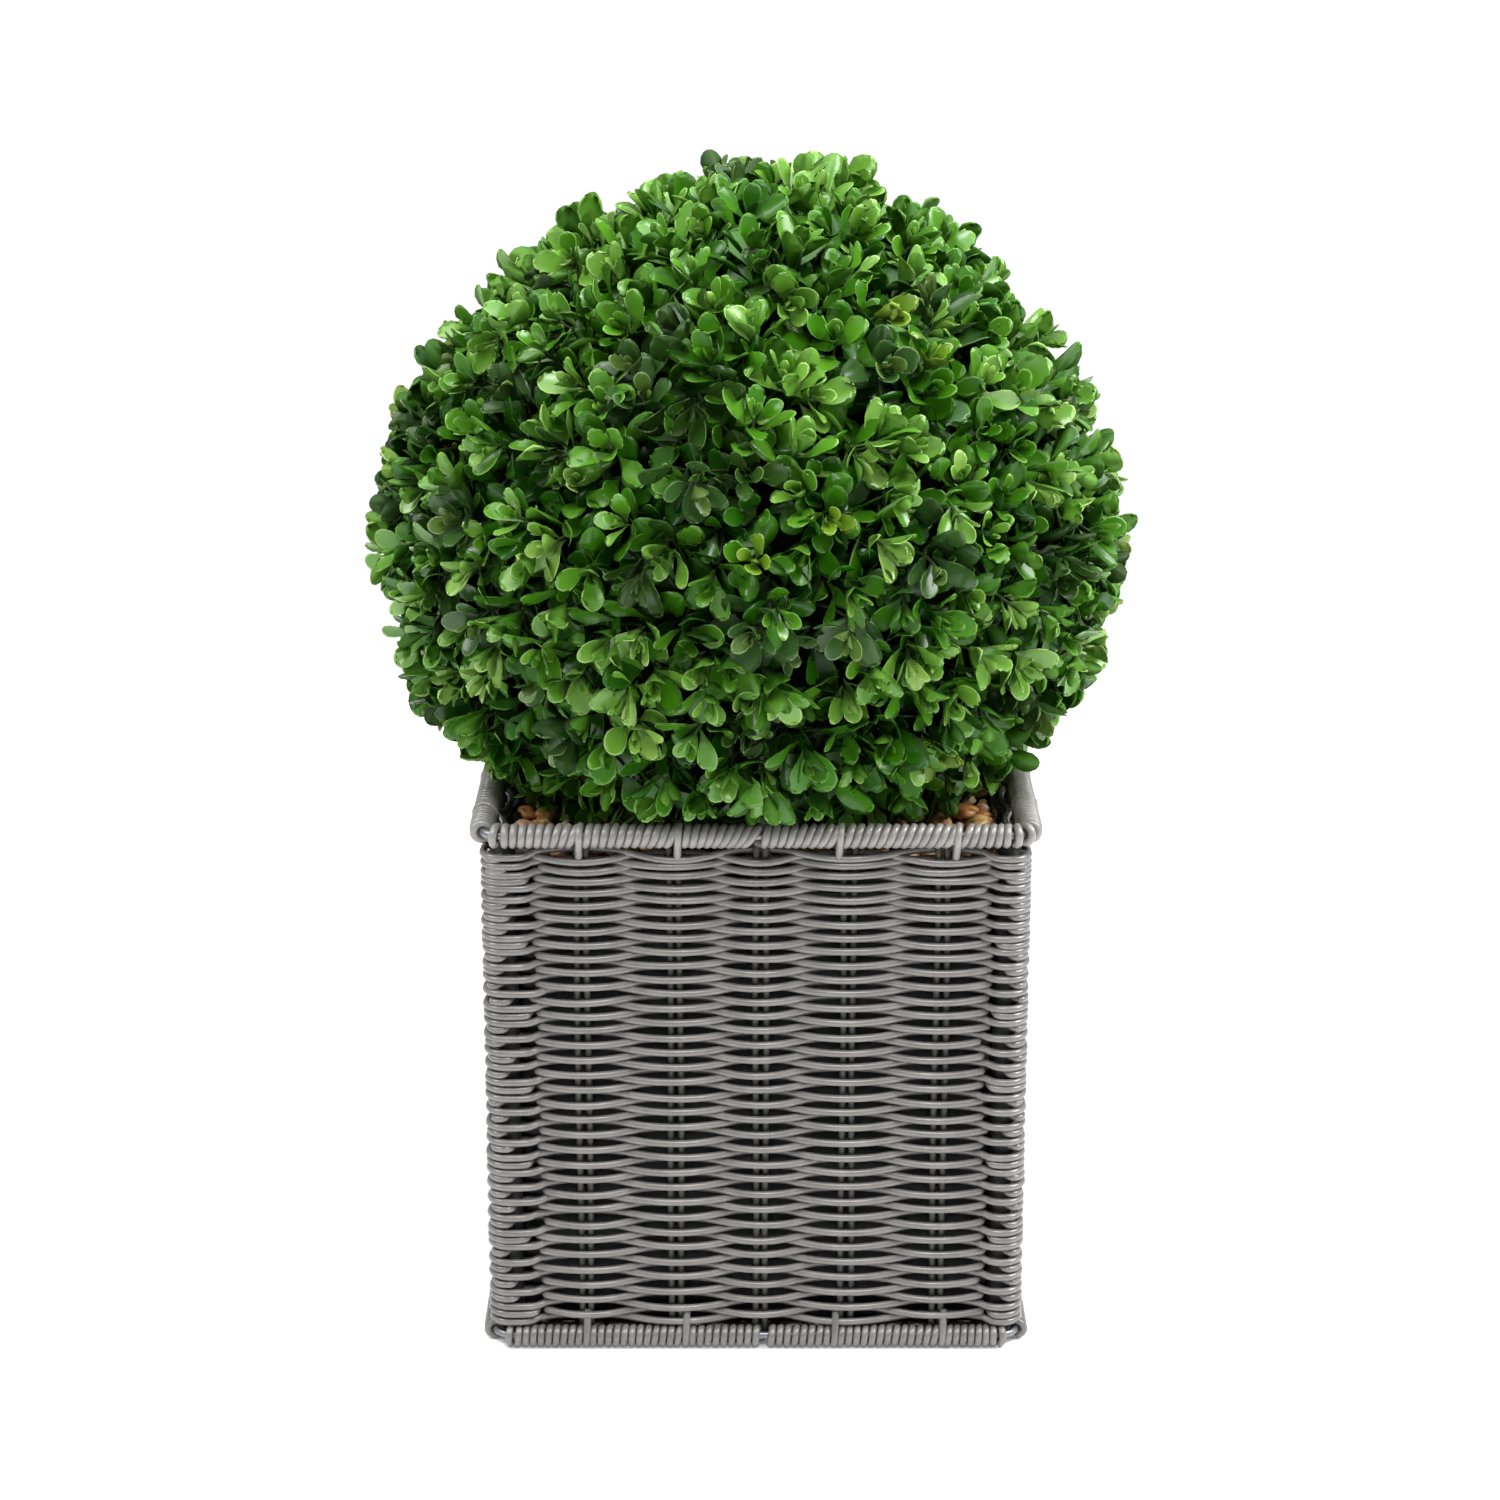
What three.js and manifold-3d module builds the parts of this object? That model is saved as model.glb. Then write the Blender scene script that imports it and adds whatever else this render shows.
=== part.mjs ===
// An artificial box topiary ball in a square woven planter.
// Millimetres, +Z up. The origin is at the middle of the planter's footprint, on the ground.
import * as THREE from "three";
import { mergeVertices } from "three/addons/utils/BufferGeometryUtils.js";
import Module from "manifold-3d";

const wasm = await Module();
wasm.setup();

// Driving dimensions
const PLANTER_HALF = 119; // outer half width over the two borders
const PLANTER_HEIGHT = 240;
const BORDER = 11; // section of the wrapped border round the rim
const BASE_BORDER = 10; // section of the wrapped border round the foot
const BORDER_CORNER = 14; // outer corner radius of both borders
const CANE = 3.2; // diameter of the round cane that is woven
const STAKES_PER_SIDE = 5;
const ROWS = 64; // courses of cane, half of them over each stake
const FILL_TOP = 214; // top of the filled inner pot
const GRAVEL_TOP = 223; // mean height of the gravel
const STONES_ACROSS = 10;
const STONE_RADIUS = 7.4;
const STONE_EDGE = 9.6; // the outermost stones' middles to the pot's side
const BARE_FROM = 99; // nearer the middle than this the ball hides the stones
const BALL_RADIUS = 163; // to the furthest leaf tips
const BALL_CENTRE = new THREE.Vector3(-2, 0, 337);
const GAP = 0.3; // between pieces that touch

// Worked out from them
const WALL_HALF = PLANTER_HALF - 6.6; // middle of the weave
const WEAVE = 1.9; // how far a row stands out or in at a stake
const WALL_INSIDE = WALL_HALF - WEAVE - 2 * CANE;
const WALL_LOW = BASE_BORDER + GAP;
const WALL_HIGH = PLANTER_HEIGHT - BORDER - GAP;
const WALL_CORNER = 6;
const MOUTH_HALF = PLANTER_HALF - BORDER;
const POT_HALF = WALL_INSIDE - GAP - 0.5;
const POT_CORNER = 10;
const FLOOR_HALF = PLANTER_HALF - BASE_BORDER - GAP;
const FLOOR_LOW = 2;
const FLOOR_HIGH = 6;

// Foliage
const CORE_RADIUS = 137;
const CORE_DETAIL = 3;
const CORE_FLAT = GRAVEL_TOP + 4.5; // the clipped underside, just above the stones
const SPRIGS = 112;
const LEAF_LENGTH = 27;
const LEAF_WIDTH = 21;
const LEAF_THICK = 1.1;
const LEAF_DISH = 2.4; // how far the blade's middle lies below its sides
const LEAF_SINK = 1.2; // how far a leaf's root passes the axis of its twig
const TWIG_FOOT = 4.2;
const TWIG_TIP = 3;
// Each pair of leaves on a sprig: how far it grows below the end pair, its angle from the
// sprig's axis and its size. The two pairs cross each other.
const PAIRS = [
  { below: 0, lean: 42, size: 1 },
  { below: 3, lean: 70, size: 1.1 },
];
const PAIR_TURN = 90;
const REACH_SPREAD = 2; // how much nearer the ball's centre the shortest sprig ends
const TWIG_SINK = 6; // how far a twig's foot lies inside the core
const TWIG_PAST = 1.6; // how far a twig runs on past its end pair
const STEM_FOOT = 12;
const STEM_TIP = 9.5;
const STEM_SOCKET = 26; // how far the stem reaches up into the core
const SEED = 7;
const SMALLEST_EDGE = 0.06; // edges shorter than this are closed up after the fusing
const SAME_POINT = 1e-3; // vertices nearer than this are one

const GREEN = new THREE.MeshStandardMaterial({ color: 0x3f7d2a, roughness: 0.45, metalness: 0 });
const GREY_CANE = new THREE.MeshStandardMaterial({ color: 0x8d8a86, roughness: 0.5, metalness: 0 });
const BLACK_POT = new THREE.MeshStandardMaterial({ color: 0x111210, roughness: 0.7, metalness: 0 });
const STONES = new THREE.MeshStandardMaterial({ color: 0xa8824f, roughness: 0.8, metalness: 0 });
const BARK = new THREE.MeshStandardMaterial({ color: 0x4a3a28, roughness: 0.85, metalness: 0 });

// A seeded random number from 0 to 1 (mulberry32).
function randomFrom(seed) {
  let state = seed >>> 0;
  return () => {
    state = (state + 0x6d2b79f5) >>> 0;
    let t = state;
    t = Math.imul(t ^ (t >>> 15), t | 1);
    t ^= t + Math.imul(t ^ (t >>> 7), t | 61);
    return ((t ^ (t >>> 14)) >>> 0) / 4294967296;
  };
}

function toSolid(geometry) {
  const bare = geometry.clone();
  bare.deleteAttribute("normal");
  bare.deleteAttribute("uv");
  const merged = mergeVertices(bare, SAME_POINT);
  return new wasm.Manifold(
    new wasm.Mesh({
      numProp: 3,
      vertProperties: new Float32Array(merged.attributes.position.array),
      triVerts: new Uint32Array(merged.index.array),
    }),
  );
}

function toGeometry(solid) {
  const mesh = solid.getMesh();
  const geometry = new THREE.BufferGeometry();
  geometry.setAttribute("position", new THREE.BufferAttribute(mesh.vertProperties, 3));
  geometry.setIndex(new THREE.BufferAttribute(mesh.triVerts, 1));
  geometry.computeVertexNormals();
  return geometry;
}

function named(name, geometry, material) {
  const mesh = new THREE.Mesh(geometry, material);
  mesh.name = name;
  return mesh;
}

// A square with round corners, as a THREE.Path or THREE.Shape.
function roundedSquare(half, corner, Kind = THREE.Shape) {
  const outline = new Kind();
  const flat = half - corner;
  outline.moveTo(-flat, -half);
  outline.lineTo(flat, -half);
  outline.absarc(flat, -flat, corner, -Math.PI / 2, 0);
  outline.lineTo(half, flat);
  outline.absarc(flat, flat, corner, 0, Math.PI / 2);
  outline.lineTo(-flat, half);
  outline.absarc(-flat, flat, corner, Math.PI / 2, Math.PI);
  outline.lineTo(-half, -flat);
  outline.absarc(-flat, -flat, corner, Math.PI, Math.PI * 1.5);
  return outline;
}

// A square frame of eight-sided section, standing on z = low.
function border(section, low) {
  const chamfer = section * 0.29;
  const outer = roundedSquare(PLANTER_HALF - chamfer, BORDER_CORNER - chamfer);
  const inner = PLANTER_HALF - section + chamfer;
  outer.holes.push(roundedSquare(inner, Math.max(BORDER_CORNER - section, 2), THREE.Path));
  const frame = new THREE.ExtrudeGeometry(outer, {
    depth: section - 2 * chamfer,
    bevelEnabled: true,
    bevelThickness: chamfer,
    bevelSize: chamfer,
    bevelSegments: 1,
    curveSegments: 3,
  });
  return frame.translate(0, 0, low + chamfer);
}

// One slab with round corners between two heights.
function slab(half, corner, low, high) {
  const options = { depth: high - low, bevelEnabled: false, curveSegments: 4 };
  return new THREE.ExtrudeGeometry(roundedSquare(half, corner), options).translate(0, 0, low);
}

// The plan of the weave: each stake and corner post, in order round the planter, with the
// way out of the wall there. even says which of the two sets of rows lies outside.
function weavePlan() {
  const plan = [];
  const bay = (2 * WALL_HALF) / (STAKES_PER_SIDE + 1);
  for (let side = 0; side < 4; side++) {
    const turn = (side * Math.PI) / 2;
    const place = (x, y, outX, outY, swing) => {
      const point = new THREE.Vector2(x, y).rotateAround(new THREE.Vector2(), turn);
      const out = new THREE.Vector2(outX, outY).rotateAround(new THREE.Vector2(), turn);
      plan.push({ point, out, swing });
    };
    const flat = WALL_HALF - WALL_CORNER;
    place(-flat, -WALL_HALF, 0, -1, 0);
    for (let stake = 1; stake <= STAKES_PER_SIDE; stake++)
      place(-WALL_HALF + stake * bay, -WALL_HALF, 0, -1, stake % 2 ? 1 : -1);
    place(flat, -WALL_HALF, 0, -1, 0);
    const bend = WALL_CORNER * (1 - Math.SQRT1_2);
    place(WALL_HALF - bend, -WALL_HALF + bend, Math.SQRT1_2, -Math.SQRT1_2, 0);
  }
  return plan;
}

// The woven wall: a square tube whose face swings out and in from stake to stake, one way
// on the odd rows and the other way on the even ones.
function wovenWall() {
  const plan = weavePlan();
  const rings = [];
  const ring = (z, offset) =>
    rings.push(plan.map((p) => [...p.point.clone().addScaledVector(p.out, offset(p)).toArray(), z]));
  const pitch = (WALL_HIGH - WALL_LOW) / ROWS;
  const outward = CANE / 2;
  ring(WALL_LOW, () => 0);
  for (let row = 0; row < ROWS; row++) {
    const way = row % 2 ? 1 : -1;
    ring(WALL_LOW + (row + 0.5) * pitch, (p) => outward + way * p.swing * WEAVE);
  }
  ring(WALL_HIGH, () => 0);
  const inside = WALL_INSIDE - WALL_HALF;
  ring(WALL_HIGH, () => inside);
  ring(WALL_LOW, () => inside);
  return loftLoop(rings);
}

// Joins rings of equal length into one closed surface, the last ring back to the first. Each
// quad is cut along the diagonal that lies further in, so what stands out is a lone bump.
function loftLoop(rings) {
  const count = rings[0].length;
  const points = rings.flat();
  const depth = (i, j) => Math.hypot(points[i][0] + points[j][0], points[i][1] + points[j][1]);
  const index = [];
  rings.forEach((_, r) => {
    const next = (r + 1) % rings.length;
    for (let i = 0; i < count; i++) {
      const j = (i + 1) % count;
      const [a, b, c, d] = [r * count + i, r * count + j, next * count + j, next * count + i];
      if (depth(a, c) < depth(b, d)) index.push(a, b, c, a, c, d);
      else index.push(a, b, d, b, c, d);
    }
  });
  const geometry = new THREE.BufferGeometry();
  geometry.setAttribute("position", new THREE.Float32BufferAttribute(points.flat(), 3));
  geometry.setIndex(index);
  geometry.computeVertexNormals();
  return geometry;
}

// The gravel: a slab with stones on it where the ball leaves it bare, open round the stem.
function gravel() {
  const random = randomFrom(SEED + 1);
  const across = (2 * (POT_HALF - STONE_EDGE)) / (STONES_ACROSS - 1);
  const bed = [toSolid(slab(POT_HALF, POT_CORNER, FILL_TOP + GAP, GRAVEL_TOP - 2))];
  for (let i = 0; i < STONES_ACROSS; i++)
    for (let j = 0; j < STONES_ACROSS; j++) {
      const x = (i - (STONES_ACROSS - 1) / 2) * across + (random() - 0.5) * 4;
      const y = (j - (STONES_ACROSS - 1) / 2) * across + (random() - 0.5) * 4;
      const stone = new THREE.IcosahedronGeometry(STONE_RADIUS * (0.75 + random() * 0.5), 0);
      stone.scale(1, 0.7 + random() * 0.3, 0.55);
      stone.rotateZ(random() * Math.PI);
      stone.translate(x, y, GRAVEL_TOP - 2 + random() * 0.8);
      if (Math.hypot(x, y) > BARE_FROM) bed.push(toSolid(stone));
    }
  const hole = new THREE.CylinderGeometry(STEM_FOOT + GAP, STEM_FOOT + GAP, 60, 16);
  hole.rotateX(Math.PI / 2).translate(BALL_CENTRE.x, 0, GRAVEL_TOP);
  return toGeometry(wasm.Manifold.union(bed).subtract(toSolid(hole)).simplify(SMALLEST_EDGE));
}

// A round stem standing on z = low, thicker at its foot.
function stemBetween(low, high, foot, tip) {
  const stem = new THREE.CylinderGeometry(tip, foot, high - low, 16);
  return stem.rotateX(Math.PI / 2).translate(BALL_CENTRE.x, 0, (low + high) / 2);
}

// One leaf of eight faces: a dished blade, broadest near its tip, from root along way.
function leaf(root, way, face, size) {
  const side = new THREE.Vector3().crossVectors(face, way).normalize();
  const at = (along, across, up) =>
    root
      .clone()
      .addScaledVector(way, along * LEAF_LENGTH * size)
      .addScaledVector(side, across * LEAF_WIDTH * size)
      .addScaledVector(face, up);
  const points = [
    at(0, 0, 0),
    at(0.62, 0.5, LEAF_DISH * size),
    at(1, 0, LEAF_DISH * size * 0.6),
    at(0.62, -0.5, LEAF_DISH * size),
    at(0.55, 0, LEAF_THICK),
    at(0.55, 0, -LEAF_THICK / 2),
  ];
  const index = [];
  for (let i = 0; i < 4; i++) {
    const j = (i + 1) % 4;
    index.push(j, i, 4, i, j, 5);
  }
  const geometry = new THREE.BufferGeometry().setFromPoints(points);
  geometry.setIndex(index);
  return { geometry, points };
}

// True if a point keeps clear of the rim, the wall and the gravel.
function clearOfPlanter(point) {
  if (point.z > PLANTER_HEIGHT + 1) return true;
  const inside = Math.max(Math.abs(point.x), Math.abs(point.y)) < MOUTH_HALF - 1.5;
  return inside && point.z > CORE_FLAT;
}

// True if a leaf stays in the ball's own space, tested along its four sides and its middle.
function leafFits(points) {
  const [root, left, tip, right] = points;
  const spans = [[root, left], [left, tip], [tip, right], [right, root], [root, tip]];
  return spans.every(([a, b]) =>
    [0, 0.25, 0.5, 0.75, 1].every((share) => {
      const p = a.clone().lerp(b, share);
      return clearOfPlanter(p) && p.distanceTo(BALL_CENTRE) <= BALL_RADIUS;
    }),
  );
}

// The sprigs: evenly spread over the ball by the golden angle, each shifted a little.
function sprigDirections() {
  const random = randomFrom(SEED);
  const golden = Math.PI * (3 - Math.sqrt(5));
  const shift = 0.5 * Math.sqrt((4 * Math.PI) / SPRIGS) * 0.35;
  const directions = [];
  for (let i = 0; i < SPRIGS; i++) {
    const z = 1 - (2 * (i + 0.5)) / SPRIGS;
    const r = Math.sqrt(1 - z * z);
    const way = new THREE.Vector3(r * Math.cos(i * golden), r * Math.sin(i * golden), z);
    way.x += (random() - 0.5) * 2 * shift;
    way.y += (random() - 0.5) * 2 * shift;
    way.z += (random() - 0.5) * 2 * shift;
    directions.push({ way: way.normalize(), turn: random() * Math.PI, reach: random() });
  }
  return directions;
}

// One sprig's solids: a three-sided twig out of the core and crossing pairs of leaves. The
// tips of its end pair lie on the ball, or a little inside it.
function sprigSolids({ way, turn, reach }) {
  const endLean = THREE.MathUtils.degToRad(PAIRS[0].lean);
  const endLength = LEAF_LENGTH * PAIRS[0].size - LEAF_SINK;
  const tips = BALL_RADIUS - 0.2 - reach * REACH_SPREAD;
  const end = Math.sqrt(tips ** 2 - (endLength * Math.sin(endLean)) ** 2) - endLength * Math.cos(endLean);
  const low = CORE_RADIUS - TWIG_SINK;
  const high = end + TWIG_PAST;
  const at = (distance) => BALL_CENTRE.clone().addScaledVector(way, distance);
  if (!clearOfPlanter(at(high))) return [];
  const axis = new THREE.Quaternion().setFromUnitVectors(new THREE.Vector3(0, 1, 0), way);
  const across = new THREE.Vector3(1, 0, 0).applyQuaternion(axis);
  const twig = new THREE.CylinderGeometry(TWIG_TIP, TWIG_FOOT, high - low, 3);
  const solids = [toSolid(twig.applyQuaternion(axis).translate(...at((low + high) / 2)))];
  PAIRS.forEach(({ below, lean, size }, pair) => {
    const angle = THREE.MathUtils.degToRad(lean);
    for (let half = 0; half < 2; half++) {
      const about = turn + THREE.MathUtils.degToRad(pair * PAIR_TURN) + half * Math.PI;
      const outward = across.clone().applyAxisAngle(way, about);
      const along = way.clone().multiplyScalar(Math.cos(angle)).addScaledVector(outward, Math.sin(angle));
      const face = way.clone().multiplyScalar(Math.sin(angle)).addScaledVector(outward, -Math.cos(angle));
      const root = at(end - below).addScaledVector(along, -LEAF_SINK);
      const made = leaf(root, along, face, size);
      if (leafFits(made.points)) solids.push(toSolid(made.geometry));
    }
  });
  return solids;
}

// The clipped ball: a core, cut flat above the gravel and open round the stem, with the
// sprigs fused into it. Hollows sealed by the fusing are filled and loose scraps dropped.
function foliage() {
  const core = new THREE.IcosahedronGeometry(CORE_RADIUS, CORE_DETAIL).translate(...BALL_CENTRE);
  const ground = new THREE.BoxGeometry(400, 400, 200).translate(0, 0, CORE_FLAT - 100);
  const high = CORE_FLAT + STEM_SOCKET + GAP;
  const socket = stemBetween(CORE_FLAT - 20, high, STEM_FOOT + GAP, STEM_TIP + GAP + 0.2);
  const clipped = toSolid(core).subtract(toSolid(ground));
  const sprigs = sprigDirections().flatMap(sprigSolids);
  const whole = wasm.Manifold.union([clipped, ...sprigs]).subtract(toSolid(socket));
  const settled = toSolid(toGeometry(whole.simplify(SMALLEST_EDGE)));
  const pieces = settled.decompose().sort((a, b) => b.volume() - a.volume());
  return toGeometry(pieces[0]);
}

const ball = new THREE.Group();
ball.add(named("foliage_ball", foliage(), GREEN));
ball.add(named("stem", stemBetween(FILL_TOP + GAP, CORE_FLAT + STEM_SOCKET, STEM_FOOT, STEM_TIP), BARK));

const planter = new THREE.Group();
planter.add(named("rim_border", border(BORDER, PLANTER_HEIGHT - BORDER), GREY_CANE));
planter.add(named("base_border", border(BASE_BORDER, 0), GREY_CANE));
planter.add(named("woven_wall", wovenWall(), GREY_CANE));
planter.add(named("planter_floor", slab(FLOOR_HALF, 4, FLOOR_LOW, FLOOR_HIGH), GREY_CANE));
planter.add(named("inner_pot", slab(POT_HALF, POT_CORNER, FLOOR_HIGH + GAP, FILL_TOP), BLACK_POT));
planter.add(named("gravel", gravel(), STONES));

const part = new THREE.Group();
part.add(planter, ball);

export default part;
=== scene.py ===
"""An artificial box topiary ball in a square woven planter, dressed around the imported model.

The planter is woven cane by cane, and its two borders are wrapped turn by turn. The ball's main
twigs follow the source's rule. Rosettes of leaves are spread between them, on fine twigs.
"""

import math

import bmesh
import bpy
import numpy as np
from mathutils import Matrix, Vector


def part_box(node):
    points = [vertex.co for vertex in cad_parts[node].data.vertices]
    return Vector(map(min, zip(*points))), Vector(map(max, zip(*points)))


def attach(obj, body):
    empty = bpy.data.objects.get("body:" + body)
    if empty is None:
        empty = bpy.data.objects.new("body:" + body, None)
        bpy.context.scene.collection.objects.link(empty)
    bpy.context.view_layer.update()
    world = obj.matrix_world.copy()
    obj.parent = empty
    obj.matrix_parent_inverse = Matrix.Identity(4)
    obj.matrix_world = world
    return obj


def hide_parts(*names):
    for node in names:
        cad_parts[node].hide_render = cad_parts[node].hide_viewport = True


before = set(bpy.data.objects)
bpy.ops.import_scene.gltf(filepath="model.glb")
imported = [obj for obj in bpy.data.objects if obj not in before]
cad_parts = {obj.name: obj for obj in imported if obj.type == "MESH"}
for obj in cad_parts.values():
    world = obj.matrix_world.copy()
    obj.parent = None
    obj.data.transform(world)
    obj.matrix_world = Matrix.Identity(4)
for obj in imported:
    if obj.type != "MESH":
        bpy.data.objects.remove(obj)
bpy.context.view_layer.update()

MM = 0.001
SEED = 7
UP = np.array([0, 0, 1])


def corners(node):
    low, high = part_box(node)
    return np.array(low), np.array(high)


# ---- sizes from the frame
RIM_LOW, RIM_HIGH = corners("rim_border")
BASE_LOW, BASE_HIGH = corners("base_border")
WALL_HIGH = corners("woven_wall")[1]
POT_LOW, POT_HIGH = corners("inner_pot")
GRAVEL_LOW, GRAVEL_HIGH = corners("gravel")
STEM_LOW, STEM_HIGH = corners("stem")
BALL_LOW = corners("foliage_ball")[0]

HALF = BASE_HIGH[0]  # outer half width over the foot's border
RIM_HALF = RIM_HIGH[0] + 1.5 * MM  # the rim's turns stand out a little past its plain form
RIM_SECTION = RIM_HIGH[2] - RIM_LOW[2]
BASE_SECTION = BASE_HIGH[2] - BASE_LOW[2]
RIM_TOP = RIM_HIGH[2]
RIM_MIDDLE = RIM_TOP - RIM_SECTION / 2
BASE_MIDDLE = BASE_HIGH[2] - BASE_SECTION / 2

# ---- the planter's own sizes
CANE = 1.65 * MM  # radius of the round cane
STAKE = 1.45 * MM  # radius of the upright canes, which stand in pairs
STAKE_APART = 2.1 * MM  # from the middle of a pair to each of its two canes
STAKE_HALF = WALL_HIGH[0] - 2 * CANE - STAKE  # half width over the upright canes' middles
STAKE_PAST = (4 * MM, 3 * MM)  # how far an upright reaches into the lower and the upper border
POST = 5.2 * MM  # radius of the post in each corner
WALL_CORNER = 5 * MM
SWING = 1.6 * MM + STAKE  # how far a row stands out where it passes a stake
INSIDE = 1.2  # inside it stands off this much farther
# The places where the rows change from outside to inside, as shares of the half width. The
# uprights stand between them, a little unevenly, as the weaver set them.
CHANGES = (-0.835, -0.487, -0.130, 0.167, 0.535, 0.876)
CORNER_CHANGES = (-0.951, 0.970)  # there the short rows come out again to pass round the post
ROW_SPACING = 0.45 * MM  # from one point to the next before a row is thinned
ROW_STEP = 5.5 * MM  # the most from one point of a row to the next
ROW_TURN = math.radians(24)  # the most that a row turns from one point to the next
LONG_ROWS = 34  # rows that pass the corners in long strands; the short ones lie between them
ROW_LOW = 12.3 * MM  # the lowest row's middle
ROW_TOP_GAP = 2.9 * MM  # from the last row's middle to the rim
TIGHT_ROWS = 7.0  # over about this many rows from the rim down the rows lie closer
TIGHTEST = 0.38  # by this share at the rim
SAG = 0.85 * MM  # how far a row hangs down in the middle of an outside stretch
NARROW = 0.2  # a stretch narrower than this, as a share of the half width, bends sharply
NARROW_EVERY = 5  # in every fifth short row the dives next to the corners are this narrow:
NARROW_DIVE = 0.035
BORDER_CORNER = 14 * MM
WRAP_PITCH = 3.5 * MM
WRAP_CANE = 1.75 * MM  # radius of the cane wound round the rim
FOOT_CANE = 1.62 * MM  # and round the foot
# Where ends of uprights pass over a border, as shares along a side, and how far the first and
# the last turn between two of these lean, in mm. RIM_STOPS adds the start of a new cane.
RIM_LOOPS = (-0.69, -0.302, 0.333, 0.793)
RIM_STOPS = (-0.69, -0.302, 0.01, 0.333, 0.793)
RIM_LEANS = ((0.0, 4.4), (2.0, 5.2), (2.4, 8.0), (2.8, 5.8), (4.0, 5.6), (4.2, 0.8), (0.4, 0.2))
FOOT_LOOPS = (-0.703, -0.292, 0.324, 0.770)
FOOT_LEANS = ((0.5, 1.4), (0.6, 1.6), (0.6, 1.4), (1.0, 2.2), (1.0, 0.4), (0.3, 0.2))
# The bare stretches: share of the first side's straight length, and from where to where in mm.
RIM_BARE = ((0, -9, -3),)
FOOT_BARE = ((0, -9, -2), (0.5, 1, 4), (1, 2, 9))
PEBBLE_PITCH = 9.6 * MM
PEBBLE_LAYERS = (-4.6, -0.1)  # the middles of the two layers from the gravel's top, in mm
PEBBLES_FROM = 52 * MM  # nearer the middle than this the ball hides them and there are none
BALL_RADIUS = 163 * MM
BALL_CENTRE = np.array([-2.0, 0.0, 337.0]) * MM

# ---- the foliage's sizes
SPRIGS = 112  # as in the part's source
GOLDEN = math.pi * (3 - math.sqrt(5))  # the golden angle
FRAME_RADIUS = 116 * MM  # the ball-shaped frame that the main twigs are plugged into
MAIN_TWIG_END = 134 * MM  # how far from the ball's middle the main twigs reach
FORKS = (120, 130)  # between these, in mm, the fine twigs leave the main twigs' directions
LEAF_PAST = 7 * MM  # how far past the source's reach a leaf's tip may go
ROSETTES = 560
MOUTH_REACH = 119 * MM  # how far from the axis the leaves reach in the mouth
LEAF_THICK = 0.6 * MM
# Each tier of a rosette: how far its leaves grow below the first in mm, their angle from the
# twig in degrees, their length in mm and their width as a share of that.
TIERS = (
    (0.0, 13, 9.0, 0.46),
    (1.6, 27, 13.5, 0.51),
    (4.0, 41, 17.0, 0.53),
    (7.4, 53, 20.0, 0.54),
    (11.4, 63, 21.0, 0.54),
    (15.8, 73, 21.0, 0.54),
    (20.5, 84, 20.5, 0.54),
)
FINE_TIERS = (1, 2, 3)  # the tiers whose leaves have pale rims of painted light, and in the lower half also 4
LOWEST_FACING = -0.6  # no rosette faces down more steeply than this
DROOP = 0.5  # how far rosettes turn down, the less the higher they are
HANG = 0.35  # how strongly the leaves of the lowest rosettes hang down
MORE_LOW = 240  # further places between the rosettes, of which those in the lower half are taken
FILLERS = 480  # rosettes of three tiers deeper in between the others, in darker tints as painted shade
LOW_PART, HIGH_PART = -0.35, 0.4  # below and above these heights on a unit ball leaves differ
# How many tints darker than its rosette's first each tier is, in each part of the ball: painted shade,
# darker for the lower tiers, which lie deeper, and in the ball's lower part, lighter at its top.
USUAL_STEPS, HIGH_STEPS, LOW_STEPS = (0, 0, 0, 1, 2, 3, 3), (0, 1, 1, 1, 1, 2, 2), (0, 1, 2, 2, 3, 4, 4)
# The colour moods that a rosette may have and how often it has each. In the ball's lower part fewer are
# young and more are usual and old, a painted shade.
MOODS = ("young", "usual", "old", "grey", "olive", "dusk")
USUAL_MOODS = (0.36, 0.33, 0.13, 0.08, 0.03, 0.07)
LOW_MOODS = (0.28, 0.40, 0.22, 0.03, 0.04, 0.03)


def from_srgb(colour):
    """The linear colour of an sRGB colour given as 0 to 255."""
    shares = [value / 255 for value in colour]
    return (*(v / 12.92 if v <= 0.04045 else ((v + 0.055) / 1.055) ** 2.4 for v in shares), 1.0)


def unit(vectors):
    return vectors / np.linalg.norm(vectors, axis=-1, keepdims=True)


def side_ways(side):
    """The ways along one of the four sides and in from it."""
    turn = side * np.pi / 2
    return np.array([np.cos(turn), np.sin(turn), 0]), np.array([-np.sin(turn), np.cos(turn), 0])


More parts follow.
